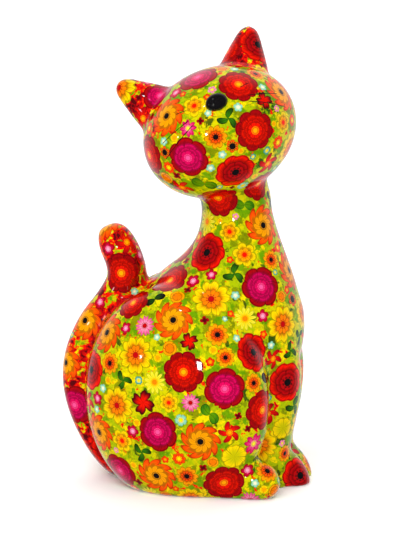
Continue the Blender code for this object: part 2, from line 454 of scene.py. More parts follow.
@dataclass(frozen=True)
class Torso:
    """The pear of the body with its neck.

    sections: Height, back edge, chest edge and half width of each level section, on the drawing.
    """

    sections: Rows = (
        (-8.0, -30.0, 37.0, 28.0),
        (0.0, -36.5, 41.0, 32.0),
        (12.0, -44.0, 43.0, 36.0),
        (30.0, -49.5, 43.5, 38.5),
        (50.0, -49.5, 49.8, 38.5),
        (70.0, -44.2, 56.2, 39.0),
        (86.0, -35.0, 56.9, 37.0),
        (99.0, -24.4, 53.4, 33.2),
        (108.0, -14.2, 50.6, 28.6),
        (117.0, -3.4, 47.4, 23.8),
        (127.0, 3.0, 43.8, 20.5),
        (138.0, 5.0, 40.6, 18.0),
        (150.0, 4.0, 39.0, 17.5),
        (164.0, 6.0, 33.0, 15.0),
    )

    def add(self, bm: BMesh, inset: float = 0.0) -> None:
        """Adds the form, made smaller all round by inset."""
        rings = []
        for height, back, chest, half_width in smooth_rows(self.sections):
            depth = max((chest - back) / 2 * UNIT - inset, MILLIMETRE)
            width = max(half_width * UNIT - inset, MILLIMETRE)
            centre = drawn(((back + chest) / 2, 0.0, height))
            rings.append(ring(centre, Vector((depth, 0, 0)), Vector((0, width, 0))))
        add_loft(bm, rings)


@dataclass(frozen=True)
class Head:
    """The egg of the head with its ears and its nose.

    Its own axes are +X out of the face, +Y to the cat's left ear and +Z to the crown.
    """

    centre: Point = (14.7, -6.0, 178.9)
    radii: Point = (33.5, 39.2, 31.8)
    turn: float = math.radians(84.0)
    nod: float = math.radians(26.0)
    tilt: float = math.radians(24.5)
    ear_root: Point = (2.0, 21.0, 19.0)
    ear_tip: Point = (2.0, 36.3, 43.6)
    ear_sections: Rows = (
        (0.00, 13.5, 9.0),
        (0.20, 12.6, 8.6),
        (0.40, 10.8, 7.8),
        (0.60, 8.6, 6.6),
        (0.80, 6.4, 5.2),
        (0.93, 4.4, 3.8),
        (1.00, 1.8, 1.8),
    )
    nose_centre: Point = (33.2, 0.0, 4.7)
    nose_radii: Point = (3.0, 5.4, 4.2)

    def axes(self) -> Matrix:
        """How the head is turned to the cat's right, raised and tilted."""
        turn = Matrix.Rotation(-self.turn, 4, "Z")
        return turn @ Matrix.Rotation(-self.nod, 4, "Y") @ Matrix.Rotation(self.tilt, 4, "X")

    def place(self, point: Iterable[float], side: Side = Side.LEFT) -> Vector:
        """A point given in the head's own axes, placed on the cat."""
        return drawn(self.centre) + self.axes() @ (mirrored(point, side) * UNIT)

    def add(self, bm: BMesh, inset: float = 0.0) -> None:
        """Adds the egg, made smaller all round by inset."""
        add_ellipsoid(bm, drawn(self.centre), drawn(self.radii) - Vector((inset,) * 3), self.axes())

    def add_nose(self, bm: BMesh) -> None:
        """Adds the button of the nose."""
        add_ellipsoid(bm, self.place(self.nose_centre), drawn(self.nose_radii), self.axes())

    def nose_tip(self) -> Vector:
        """The foremost point of the nose."""
        return self.place(self.nose_centre) + self.axes() @ Vector((self.nose_radii[0] * UNIT, 0, 0))

    def add_ears(self, bm: BMesh) -> None:
        """Adds two blunt cones that lean out from the crown."""
        front = self.axes() @ Vector((1, 0, 0))
        for side in Side:
            root, tip = self.place(self.ear_root, side), self.place(self.ear_tip, side)
            wide = (tip - root).cross(front).normalized()
            add_loft(bm, [
                ring(root.lerp(tip, share), wide * half_width * UNIT, -front * half_depth * UNIT)
                for share, half_width, half_depth in smooth_rows(self.ear_sections)
            ])


@dataclass(frozen=True)
class Legs:
    """Haunches, forelegs and paws, given for the cat's left side."""

    haunch_centre: Point = (-5.2, 23.2, 49.0)
    haunch_radii: Point = (48.3, 25.0, 55.5)
    haunch_fullness: float = 0.9
    splay: float = math.radians(15.0)
    hind_foot_centre: Point = (6.0, 25.5, 6.5)
    hind_foot_radii: Point = (36.0, 12.0, 12.0)
    hind_paw_centre: Point = (31.4, 30.3, 7.6)
    hind_paw_radii: Point = (17.0, 10.8, 11.8)
    foreleg: Rows = (
        (38.5, 9.0, 84.0, 14.0),
        (42.1, 9.5, 62.0, 14.0),
        (41.9, 9.5, 45.0, 13.8),
        (39.6, 9.0, 30.0, 13.4),
        (37.9, 8.5, 18.0, 13.1),
        (37.9, 8.0, -6.0, 13.1),
    )
    forepaw_centre: Point = (47.4, 6.8, 8.4)
    forepaw_radii: Point = (17.5, 9.0, 9.2)
    forepaw_slope: float = math.radians(45.0)

    def splayed(self, side: Side) -> Matrix:
        """How far out the thigh and the hind foot are turned."""
        return Matrix.Rotation(side.value * self.splay, 4, "Z")

    def add_haunches(self, bm: BMesh, inset: float = 0.0) -> None:
        """Adds the two round thighs, made smaller all round by inset."""
        radii = drawn(self.haunch_radii) - Vector((inset,) * 3)
        for side in Side:
            centre = mirrored(drawn(self.haunch_centre), side)
            add_ellipsoid(bm, centre, radii, self.splayed(side), self.haunch_fullness)

    def add_forelegs(self, bm: BMesh) -> None:
        """Adds the forelegs, down from the chest, and the four paws."""
        slope = Matrix.Rotation(self.forepaw_slope, 4, "Y")
        for side in Side:
            rings = []
            for x, y, z, radius in smooth_rows(self.foreleg):
                across, along = Vector((radius * UNIT, 0, 0)), Vector((0, -radius * UNIT, 0))
                rings.append(ring(mirrored(drawn((x, y, z)), side), across, along))
            add_loft(bm, rings)
            for centre, radii, axes in (
                (self.forepaw_centre, self.forepaw_radii, slope),
                (self.hind_foot_centre, self.hind_foot_radii, self.splayed(side)),
                (self.hind_paw_centre, self.hind_paw_radii, self.splayed(side)),
            ):
                add_ellipsoid(bm, mirrored(drawn(centre), side), drawn(radii), axes)


@dataclass(frozen=True)
class Tail:
    """The solid tail, which climbs the back and stands free at its tip.

    path: Points up the middle of the back with the radius at each, on the drawing.
    """

    path: Rows = (
        (-29.0, 1.0, 8.5),
        (-41.2, 12.4, 9.5),
        (-51.0, 28.0, 9.5),
        (-56.4, 45.0, 9.5),
        (-56.0, 61.0, 9.5),
        (-49.4, 77.0, 9.8),
        (-38.8, 91.0, 10.2),
        (-32.9, 102.5, 10.2),
        (-34.1, 112.5, 9.8),
        (-38.0, 121.0, 9.4),
        (-41.1, 127.0, 7.4),
        (-42.4, 130.0, 4.2),
    )

    def add(self, bm: BMesh) -> None:
        """Adds the tail."""
        rows = smooth_rows(self.path)
        rings = []
        for i, (x, z, radius) in enumerate(rows):
            before, after = rows[max(i - 1, 0)], rows[min(i + 1, len(rows) - 1)]
            along = Vector((after[0] - before[0], 0, after[1] - before[1])).normalized()
            out = Vector((0, 1, 0)).cross(along)
            rings.append(ring(drawn((x, 0, z)), out * radius * UNIT, Vector((0, radius * UNIT, 0))))
        add_loft(bm, rings)


@dataclass(frozen=True)
class CoinSlot:
    """The slot that runs down the nape.

    low, high: The points of the nape that it lies between, as (along, up) on the drawing.
    hollow: How far the nape curves in between them.
    rounding: The radius of its round ends, as a share of its width.
    """

    length: float = 0.033
    width: float = 0.0054
    wall: float = 0.004
    low: Pair = (-8.6, 112.0)
    high: Pair = (4.6, 143.0)
    hollow: float = 5.5
    rounding: float = 0.49
    end_steps: int = 8

    def cutter(self) -> Object:
        """A flat bar with round ends, sunk through the nape into the neck."""
        low, high = (drawn((x, 0, z)) for x, z in (self.low, self.high))
        along = (high - low).normalized()
        inward = Vector((along.z, 0, -along.x))
        outside = self.wall + self.hollow * UNIT
        inside = outside + self.wall
        bm = bmesh.new()
        size = Matrix.Diagonal((outside + inside, self.width, self.length, 1.0))
        bmesh.ops.create_cube(bm, size=1.0, matrix=size)
        corners = [edge for edge in bm.edges if abs(edge.verts[0].co.x - edge.verts[1].co.x) > self.width]
        bmesh.ops.bevel(
            bm, geom=corners, offset=self.width * self.rounding, segments=self.end_steps, profile=0.5,
            affect="EDGES",
        )
        turn = Matrix((inward, along.cross(inward), along)).transposed().to_4x4()
        middle = (low + high) / 2 + inward * (inside - outside) / 2
        bmesh.ops.transform(bm, matrix=Matrix.Translation(middle) @ turn, verts=bm.verts)
        return new_object("slot_cutter", bm)


@dataclass(frozen=True)
class StopperHole:
    """The dish in the underside and the round hole above it, which the stopper fits."""

    place: float = 10.0
    radius: float = 0.0165
    dish_depth: float = 0.0045
    dish_radius: float = 0.021
    wall: float = 0.004

    def centre(self) -> Vector:
        """The middle of the hole, on the table."""
        return drawn((self.place, 0, 0))

    def cutter(self) -> Object:
        """The dish and the hole."""
        above = self.dish_depth + 2 * self.wall
        return turned("hole_cutter", (
            (0, -self.dish_depth),
            (self.dish_radius, -self.dish_depth),
            (self.dish_radius, self.dish_depth),
            (self.radius, self.dish_depth),
            (self.radius, above),
            (0, above),
        ), self.centre())

    def boss(self) -> Object:
        """The raised floor round the hole."""
        top, reach = self.dish_depth + self.wall, self.dish_radius + self.wall
        return turned("boss", ((0, -self.wall), (reach, -self.wall), (reach, top), (0, top)), self.centre())


@dataclass(frozen=True)
class Motif:
    """One printed flower or leaf, in shares of its own radius.

    petals: How many there are in a row.
    depth: How deep the gaps between them go.
    point: How pointed they are; under 1 they are round.
    rows: How many rows of petals lie on one another, up to ROWS_MOST.
    tier: The reach of each row, as a share of the one below.
    eye: The radius of the eye, or 0.
    twist: How far the petals turn from the eye to the tips, in radians.
    notch: How deep the nick in each petal's tip is.
    vein: How strongly a line shows down each petal.
    outer, inner, heart: The colours of the first row, of the further rows and of the eye.
    share: How often it is printed, against the layer's other motifs.
    """

    petals: int
    depth: float
    point: float
    rows: int
    tier: float
    eye: float
    twist: float
    notch: float
    vein: float
    outer: Paint
    inner: Paint
    heart: Paint
    share: float = 1.0


class Sheet(Enum):
    """The printer's sheets, laid on one another. Each carries its motifs as attributes of its own."""

    UNDER = "under"
    MIDDLE = "middle"
    OVER = "over"


@dataclass(frozen=True)
class PrintLayer:
    """Motifs of like size, printed together.

    name: The layer's name.
    radii: The smallest and the largest radius, in millimetres.
    spacing: How far a motif stays from those of the layers before, as a share of both radii.
    sheets: The sheets that it may be on, the best one first.
    motifs: What is printed.
    """

    name: str
    radii: Pair
    spacing: float
    sheets: tuple[Sheet, ...]
    motifs: tuple[Motif, ...]


@dataclass
class Spot:
    """Where one motif is printed."""

    centre: np.ndarray
    normal: np.ndarray
    across: np.ndarray
    up: np.ndarray
    radius: float
    tone: float
    motif: Motif | None = None

    def meets(self, other: Spot) -> bool:
        """Whether a face of the skin could reach both prints."""
        near = self.radius + other.radius + SKIN_VOXEL
        apart = np.linalg.norm(self.centre - other.centre)
        return bool(self.normal @ other.normal > SAME_SIDE and apart < near)


ROWS_MOST = 4
WARM_PAINTS = (Paint.SCARLET, Paint.VERMILION, Paint.CRIMSON, Paint.MAROON)

# How far two places may face apart, as the product of their normals: to touch, to share a print, and
# the most that is reckoned with when a print is laid flat
SAME_SIDE, SAME_PRINT, TURNED_MOST = -0.2, -0.6, -0.98

# The attributes that carry a sheet: the place on the motif, and the motif's own numbers and colours
PRINT_SHAPES = {
    "shape": ("petals", "depth", "point"),
    "style": ("rows", "tier", "eye"),
    "bend": ("twist", "notch", "vein"),
}
PRINT_COLORS = ("outer", "inner", "heart")
PRINT_PARTS = ("place", *PRINT_SHAPES, *PRINT_COLORS)

ALL_SHEETS = (Sheet.OVER, Sheet.MIDDLE, Sheet.UNDER)

LAYERS = (
    PrintLayer("blooms", (7.4, 10.6), 1.0, (Sheet.MIDDLE, Sheet.UNDER), (
        Motif(8, 0.15, 0.5, 4, 0.74, 0.14, 0.0, 0.0, 0.1, Paint.CRIMSON, Paint.SCARLET, Paint.AMBER, 1.7),
        Motif(6, 0.15, 0.5, 4, 0.72, 0.14, 0.3, 0.0, 0.1, Paint.CRIMSON, Paint.MAGENTA, Paint.ROSE, 0.5),
        Motif(5, 0.40, 0.5, 2, 0.52, 0.17, 0.0, 0.2, 0.5, Paint.YELLOW, Paint.ORANGE, Paint.CRIMSON, 1.1),
        Motif(9, 0.28, 0.8, 2, 0.60, 0.17, 1.3, 0.0, 0.2, Paint.VERMILION, Paint.AMBER, Paint.INK, 1.1),
        Motif(4, 0.14, 0.4, 3, 0.66, 0.20, 0.5, 0.1, 0.3, Paint.SCARLET, Paint.CRIMSON, Paint.INK, 1.0),
    )),
    PrintLayer("florets", (4.4, 6.4), 0.92, ALL_SHEETS, (
        Motif(4, 0.60, 0.6, 1, 0.50, 0.20, 0.0, 0.3, 0.5, Paint.MAGENTA, Paint.ROSE, Paint.LEMON, 0.8),
        Motif(5, 0.66, 1.2, 1, 0.50, 0.20, 0.7, 0.0, 0.4, Paint.CRIMSON, Paint.SCARLET, Paint.AMBER, 1.3),
        Motif(7, 0.50, 0.7, 1, 0.50, 0.24, 0.0, 0.3, 0.3, Paint.ROSE, Paint.BLUSH, Paint.CRIMSON, 0.4),
        Motif(6, 0.36, 0.6, 2, 0.58, 0.22, 0.0, 0.0, 0.3, Paint.YELLOW, Paint.AMBER, Paint.SCARLET, 1.3),
        Motif(5, 0.34, 0.5, 2, 0.55, 0.24, 0.4, 0.2, 0.3, Paint.AMBER, Paint.VERMILION, Paint.INK, 1.3),
        Motif(12, 0.60, 0.9, 1, 0.50, 0.22, 0.0, 0.0, 0.2, Paint.LEMON, Paint.YELLOW, Paint.ORANGE, 0.8),
    )),
    PrintLayer("leaves", (4.6, 7.4), 0.85, (Sheet.UNDER,), (
        Motif(2, 0.97, 1.5, 1, 0.50, 0.0, 0.5, 0.0, 0.9, Paint.LEAF, Paint.GRASS, Paint.LEAF, 1.5),
        Motif(3, 0.94, 1.7, 1, 0.50, 0.0, 0.6, 0.0, 0.9, Paint.FOREST, Paint.LEAF, Paint.LEAF, 1.5),
        Motif(2, 0.97, 2.4, 1, 0.50, 0.0, 0.3, 0.0, 0.9, Paint.INK, Paint.FOREST, Paint.INK, 1.0),
        Motif(5, 0.14, 0.6, 1, 0.50, 0.0, 0.0, 0.1, 0.2, Paint.YELLOW, Paint.CHARTREUSE, Paint.YELLOW, 1.1),
        Motif(4, 0.60, 0.8, 1, 0.50, 0.0, 0.4, 0.2, 0.3, Paint.MAROON, Paint.SCARLET, Paint.CRIMSON, 1.1),
    )),
    PrintLayer("buds", (2.8, 3.9), 0.9, ALL_SHEETS, (
        Motif(3, 0.10, 0.5, 2, 0.60, 0.0, 0.8, 0.0, 0.2, Paint.AMBER, Paint.ORANGE, Paint.ORANGE, 1.2),
        Motif(4, 0.30, 0.5, 1, 0.50, 0.3, 0.0, 0.2, 0.2, Paint.VERMILION, Paint.SCARLET, Paint.YELLOW, 1.3),
        Motif(5, 0.40, 0.6, 1, 0.50, 0.3, 0.5, 0.0, 0.2, Paint.CRIMSON, Paint.MAGENTA, Paint.BLUSH, 1.2),
        Motif(6, 0.34, 0.6, 1, 0.50, 0.5, 0.0, 0.0, 0.2, Paint.VERMILION, Paint.AMBER, Paint.INK, 1.2),
        Motif(5, 0.30, 0.6, 1, 0.50, 0.34, 0.0, 0.1, 0.0, Paint.MINT, Paint.MINT, Paint.YELLOW, 0.6),
    )),
    PrintLayer("sprinkle", (1.5, 2.4), 0.92, ALL_SHEETS, (
        Motif(5, 0.34, 0.6, 1, 0.50, 0.36, 0.0, 0.0, 0.0, Paint.MINT, Paint.MINT, Paint.CREAM, 1.3),
        Motif(4, 0.34, 0.6, 1, 0.50, 0.36, 0.0, 0.1, 0.0, Paint.TEAL, Paint.MINT, Paint.YELLOW, 0.9),
        Motif(5, 0.34, 0.6, 1, 0.50, 0.3, 0.0, 0.0, 0.0, Paint.SCARLET, Paint.VERMILION, Paint.AMBER, 1.2),
        Motif(4, 0.50, 0.7, 1, 0.50, 0.0, 0.4, 0.0, 0.0, Paint.CRIMSON, Paint.MAROON, Paint.CRIMSON, 1.4),
        Motif(3, 0.05, 0.5, 1, 0.50, 0.0, 0.0, 0.0, 0.0, Paint.YELLOW, Paint.AMBER, Paint.ORANGE, 1.0),
        Motif(5, 0.40, 0.6, 1, 0.50, 0.3, 0.0, 0.0, 0.0, Paint.BLUSH, Paint.ROSE, Paint.LEMON, 0.4),
    )),
)


class Skin:
    """A mesh's faces and corners as arrays, for printing on it."""

    def __init__(self, mesh: Mesh, slot: int = 0) -> None:
        """Reads the mesh, and notes the faces of that material slot."""
        self.mesh = mesh
        self.points = self.read(mesh.vertices, "co", 3)
        self.normals = self.read(mesh.vertices, "normal", 3)
        self.centres = self.read(mesh.polygons, "center", 3)
        self.facings = self.read(mesh.polygons, "normal", 3)
        self.starts = self.read(mesh.polygons, "loop_start", 1, np.int32)
        self.totals = self.read(mesh.polygons, "loop_total", 1, np.int32)
        self.corners = self.read(mesh.loops, "vertex_index", 1, np.int32)
        slots = self.read(mesh.polygons, "material_index", 1, np.int32)
        printed = np.flatnonzero(slots == slot)
        self.tree = kdtree.KDTree(len(printed))
        for face in printed:
            self.tree.insert(self.centres[face], int(face))
        self.tree.balance()

    @staticmethod
    def read(items: Any, name: str, width: int, kind: type = np.float32) -> np.ndarray:
        """One property of every item, as an array."""
        values = np.zeros(len(items) * width, kind)
        items.foreach_get(name, values)
        return values.reshape(-1, width) if width > 1 else values

    def faces_near(self, spot: Spot, reach: float) -> np.ndarray:
        """The printed faces within reach of a spot."""
        found = self.tree.find_range(Vector(spot.centre), reach)
        return np.array([index for _, index, _ in found], np.int64)

    def loops_of(self, faces: np.ndarray) -> np.ndarray:
        """The corners of some faces."""
        found = [np.arange(s, s + t) for s, t in zip(self.starts[faces], self.totals[faces])]
        return np.concatenate(found).astype(np.int64) if found else np.zeros(0, np.int64)

    @staticmethod
    def unrolled(spot: Spot, points: np.ndarray, normals: np.ndarray) -> np.ndarray:
        """Where points of the skin lie on a flat print laid on it.

        Args:
            spot: Where the print is laid.
            points: The points.
            normals: The skin's normals there.

        Returns:
            Places on the print, in metres from its middle.
        """
        away = points - spot.centre
        flat = away - np.outer(away @ spot.normal, spot.normal)
        half = np.arccos(np.clip(normals @ spot.normal, TURNED_MOST, 1.0)) / 2
        longer = np.where(half > 0.001, half / np.maximum(np.sin(half), NEARLY_ZERO), 1.0)
        arc = np.linalg.norm(away, axis=1) * longer
        flat *= (arc / np.maximum(np.linalg.norm(flat, axis=1), NEARLY_ZERO))[:, None]
        return np.stack((flat @ spot.across, flat @ spot.up), axis=1)

    def spot(self, face: int, turn: float, radius: float, tone: float, motif: Motif | None) -> Spot:
        """A spot on a face, with its print turned by an angle."""
        normal = self.facings[face]
        side = np.cross(normal, (0.0, 0.0, 1.0) if abs(normal[2]) < 0.9 else (1.0, 0.0, 0.0))
        side /= np.linalg.norm(side)
        other = np.cross(normal, side)
        across = side * math.cos(turn) + other * math.sin(turn)
        return Spot(self.centres[face], normal, across, np.cross(normal, across), radius, tone, motif)

    def write(self, name: str, kind: str, domain: str, values: np.ndarray) -> None:
        """Stores values on the mesh as an attribute."""
        attribute = self.mesh.attributes.new(name, kind, domain)
        part = {"FLOAT_COLOR": "color", "FLOAT_VECTOR": "vector", "FLOAT": "value"}[kind]
        attribute.data.foreach_set(part, values.astype(np.float32).ravel())


@dataclass
class FlowerPrint:
    """An all-over print of generic flowers, scattered layer by layer without a repeat.

    beyond: The place given to a face that has no motif, in radii.
    nose_reach: How far round the nose no motif reaches.
    reds: How much likelier a red motif is where the print is warmest.
    """

    seed: int = 11
    layers: tuple[PrintLayer, ...] = LAYERS
    tries: int = 9000
    gap: float = 0.4 * MILLIMETRE
    beyond: float = 9.0
    nose_reach: float = 0.0058
    reds: float = 9.0

    def apply(self, skin: Skin, warmth: np.ndarray, nose: Vector) -> None:
        """Scatters every layer and stores it on the skin.

        Args:
            skin: What is printed on.
            warmth: How red the print is at each face, from 0 to 1.
            nose: The tip of the nose, which the motifs keep clear of.
        """
        chance = np.random.default_rng(self.seed)
        sheets: dict[Sheet, list[Spot]] = {sheet: [] for sheet in Sheet}
        laid = [skin.spot(skin.tree.find(nose)[1], 0.0, self.nose_reach, 0.0, None)]
        for layer in self.layers:
            spots = self.scatter(skin, layer, laid, chance, warmth)
            laid.extend(spots)
            for spot in spots:
                free = (sheet for sheet in layer.sheets if not any(map(spot.meets, sheets[sheet])))
                sheets[next(free, layer.sheets[0])].append(spot)
            LOG.info("print layer %s: %d motifs", layer.name, len(spots))
        for sheet, spots in sheets.items():
            self.store(skin, sheet, spots)

    def scatter(
        self, skin: Skin, layer: PrintLayer, laid: list[Spot], chance: np.random.Generator, warmth: np.ndarray
    ) -> list[Spot]:
        """Chooses the spots of one layer.

        Args:
            skin: What is printed on.
            layer: The layer.
            laid: The spots of the layers before.
            chance: Where the random numbers come from.
            warmth: How red the print is at each face, from 0 to 1.

        Returns:
            The spots.
        """
        shares = np.array([motif.share for motif in layer.motifs])
        red = np.array([motif.outer in WARM_PAINTS for motif in layer.motifs])
        known = np.zeros((len(laid) + self.tries, 7))
        for index, spot in enumerate(laid):
            known[index] = (*spot.centre, *spot.normal, spot.radius * layer.spacing)
        count = before = len(laid)
        spots: list[Spot] = []
        low, high = layer.radii
        points = chance.uniform(skin.points.min(axis=0), skin.points.max(axis=0), (self.tries, 3))
        for attempt, point in enumerate(points):
            _, face, _ = skin.tree.find(Vector(point))
            size = high - (high - low) * (attempt / self.tries) * chance.random() ** 0.5
            radius = size * MILLIMETRE
            odds = shares * (1.0 + self.reds * warmth[face] * red)
            picked = chance.choice(len(odds), p=odds / odds.sum())
            turn, tone = chance.random(), chance.random()
            apart = np.linalg.norm(known[:count, :3] - skin.centres[face], axis=1)
            facing = known[:count, 3:6] @ skin.facings[face] > SAME_SIDE
            own = np.arange(count) >= before
            needed = known[:count, 6] + radius * np.where(own, 1.0, layer.spacing) + self.gap * own
            if np.any(facing & (apart < needed)):
                continue
            spot = skin.spot(face, turn * 2 * math.pi, radius, tone, layer.motifs[picked])
            known[count] = (*spot.centre, *spot.normal, radius)
            count += 1
            spots.append(spot)
        return spots

    def store(self, skin: Skin, sheet: Sheet, spots: list[Spot]) -> None:
        """Writes one sheet's places, shapes and colours as attributes of the skin.

        Args:
            skin: What is printed on.
            sheet: The sheet.
            spots: Its spots.
        """
        faces = len(skin.centres)
        nearest = np.full(faces, np.inf)
        owner = np.full(faces, -1)
        for index, spot in enumerate(spots):
            near = skin.faces_near(spot, spot.radius + 2 * SKIN_VOXEL)
            near = near[skin.facings[near] @ spot.normal > SAME_PRINT]
            laid = skin.unrolled(spot, skin.centres[near], skin.facings[near])
            away = np.linalg.norm(laid, axis=1) / spot.radius
            closer = away < nearest[near]
            nearest[near[closer]] = away[closer]
            owner[near[closer]] = index
        place = np.full((len(skin.corners), 3), self.beyond)
        vectors = {part: np.zeros((faces, 3)) for part in PRINT_SHAPES}
        colors = {part: np.ones((faces, 4)) for part in PRINT_COLORS}
        for index, spot in enumerate(spots):
            own = np.flatnonzero(owner == index)
            for part, names in PRINT_SHAPES.items():
                vectors[part][own] = [getattr(spot.motif, name) for name in names]
            for part in PRINT_COLORS:
                colors[part][own] = getattr(spot.motif, part).linear()
            loops = skin.loops_of(own)
            verts = skin.corners[loops]
            place[loops, :2] = skin.unrolled(spot, skin.points[verts], skin.normals[verts]) / spot.radius
            place[loops, 2] = spot.tone
        skin.write(f"{sheet.value}_place", "FLOAT_VECTOR", "CORNER", place)
        for part, values in vectors.items():
            skin.write(f"{sheet.value}_{part}", "FLOAT_VECTOR", "FACE", values)
        for part, values in colors.items():
            skin.write(f"{sheet.value}_{part}", "FLOAT_COLOR", "FACE", values)


@dataclass
class Whiskers:
    """Thin whisker lines painted on the cheeks, fanned out from the nose.

    lines: The angle below level, the start and the end of each, in degrees and millimetres.
    width: How wide a line is, in millimetres.
    soft: How soft its edges are, as a share of its width.
    taper: How much of its length it fades over at each end.
    """

    lines: Rows = ((20.5, 16.5, 41.0), (9.0, 17.0, 36.0), (-11.5, 16.0, 22.0))
    width: float = 0.45
    soft: float = 0.3
    taper: float = 0.03
    name: str = "whisker_place"

    def store(self, skin: Skin, head: Head) -> None:
        """Writes places in millimetres round the nose, across the face and up it."""
        out, across, up = (np.array(head.axes().col[i][:3]) for i in range(3))
        nose = np.array(head.place(head.nose_centre))
        reach = max(end for _, _, end in self.lines) * MILLIMETRE
        _, face, _ = skin.tree.find(Vector(nose))
        spot = Spot(skin.centres[face], out, across, up, reach, 0.0)
        near = skin.faces_near(spot, reach)
        near = near[skin.facings[near] @ out > 0.0]
        place = np.full((len(skin.corners), 3), reach / MILLIMETRE * 2)
        loops = skin.loops_of(near)
        verts = skin.corners[loops]
        place[loops, :2] = skin.unrolled(spot, skin.points[verts], skin.normals[verts]) / MILLIMETRE
        skin.write(self.name, "FLOAT_VECTOR", "CORNER", place)

    def mask(self, tree: NodeTree) -> Signal:
        """Where the lines are."""
        place = add_node(tree, "ShaderNodeAttribute", output="Color", attribute_name=self.name)
        across, up = (
            Signal(tree, add_node(tree, "ShaderNodeSeparateColor", {0: place}, part)) for part in range(2)
        )
        across = abs(across)
        found = None
        for fall, start, end in self.lines:
            angle = math.radians(fall)
            along = across * math.cos(angle) - up * math.sin(angle)
            beside = abs(across * math.sin(angle) + up * math.cos(angle))
            length = (along - start) / (end - start)
            half = self.width / 2
            line = beside.falling(half * (1.0 - self.soft), half * (1.0 + self.soft))
            line = line * length.rising(0.0, self.taper) * length.falling(1.0 - self.taper, 1.0)
            found = line if found is None else found.math("MAXIMUM", line)
        return found


@dataclass(frozen=True)
class PrintedMotif:
    """How one sheet of motifs is drawn, as a group of nodes. Widths are shares of a motif's radius.

    soft: How soft the edges are.
    outline: How wide the darker line round each row of petals is.
    strokes, stroke_lean: How many brush strokes cross a petal, and how they lean further out.
    tone_step: How much further along the strokes' noise each flower starts.
    coarseness: How coarse the strokes are.
    nick: How narrow the nick in a petal's tip is, as a power.
    hairline: Where the line down a petal starts to fade, and where it ends.
    rim: How far the beads round the eye reach, in radii of the eye.
    ..._shade: How dark each of these marks is.
    """

    soft: float = 0.02
    outline: float = 0.07
    strokes: float = 1.3
    stroke_lean: float = 3.0
    tone_step: float = 60.0
    coarseness: float = 1.6
    nick: float = 14.0
    hairline: Pair = (0.012, 0.04)
    rim: float = 1.35
    stroke_shade: float = 0.4
    tone_shade: float = 0.1
    vein_shade: float = 0.6
    gap_shade: float = 0.5
    tier_shade: float = 0.45
    outline_shade: float = 0.5
    eye_shade: float = 0.4

    def group(self) -> NodeTree:
        """Builds the group.

        Returns:
            The group, which gives the colour below with the motif printed over it.
        """
        tree = bpy.data.node_groups.new("printed_motif", "ShaderNodeTree")
        for name in (*PRINT_PARTS, "below"):
            tree.interface.new_socket(name, in_out="INPUT", socket_type="NodeSocketColor")
        tree.interface.new_socket("color", in_out="OUTPUT", socket_type="NodeSocketColor")
        given = tree.nodes.new("NodeGroupInput").outputs
        (across, up, tone), (petals, depth, point), (rows, tier, eye), (twist, notch, vein) = (
            [Signal(tree, add_node(tree, "ShaderNodeSeparateColor", {0: given[name]}, i)) for i in range(3)]
            for name in ("place", *PRINT_SHAPES)
        )
        radius = (across * across + up * up) ** 0.5
        angle = up.math("ARCTAN2", across) + twist * radius
        streak = angle * petals * self.strokes + radius * self.stroke_lean + tone * self.tone_step
        brush = Signal(tree, add_node(tree, "ShaderNodeTexNoise", {
            "W": streak, "Scale": self.coarseness, "Detail": 3.0,
        }, noise_dimensions="1D"))
        flower, scale = given["below"], None
        for row in range(ROWS_MOST):
            lobe = abs((angle * petals * 0.5).math("SINE" if row % 2 else "COSINE"))
            edge = (1.0 - depth * (1.0 - lobe ** point)) * (1.0 - notch * lobe ** self.nick)
            reach = radius / (edge if scale is None else edge * scale + 1e-4)
            blend = brush.rising(0.5, 0.8) * 0.5 if row else reach.rising(0.3, 0.9)
            inputs = {FACTOR: blend, UNDER: given["inner"], OVER: given["outer"]}
            petal = add_node(tree, "ShaderNodeMix", inputs, **COLORS)
            line = radius * (1.0 - lobe * lobe) ** 0.5 / petals * 2.0
            beyond = (rows - row).rising(1.0, 1.5)
            for mark in (
                brush.rising(0.4, 0.8) * self.stroke_shade + tone * self.tone_shade,
                line.falling(*self.hairline) * reach.falling(0.7, 0.95) * vein * self.vein_shade,
                lobe.falling(0.05, 0.2) * self.gap_shade,
                reach.falling(tier, tier * 1.3) * beyond * self.tier_shade,
                reach.rising(1.0 - self.outline * 1.7, 1.0 - self.outline) * self.outline_shade,
            ):
                petal = shaded(tree, petal, mark)
            mask = reach.falling(1.0 - self.soft, 1.0)
            if row:
                mask = mask * (rows - row).rising(0.4, 0.6)
            flower = add_node(tree, "ShaderNodeMix", {FACTOR: mask, UNDER: flower, OVER: petal}, **COLORS)
            scale = tier if scale is None else scale * tier
        rim = eye * self.rim
        beads = abs((angle * petals).math("COSINE")).rising(0.35, 0.6) * radius.falling(rim, rim * 1.06)
        beads = beads * radius.rising(eye, eye * 1.06) * 0.75
        inputs = {FACTOR: beads, UNDER: flower, OVER: given["heart"]}
        flower = add_node(tree, "ShaderNodeMix", inputs, **COLORS)
        heart = shaded(tree, given["heart"], radius.rising(eye * 0.5, eye) * self.eye_shade)
        inputs = {FACTOR: radius.falling(eye - 0.03, eye), UNDER: flower, OVER: heart}
        flower = add_node(tree, "ShaderNodeMix", inputs, **COLORS)
        add_node(tree, "NodeGroupOutput", {0: flower})
        return tree


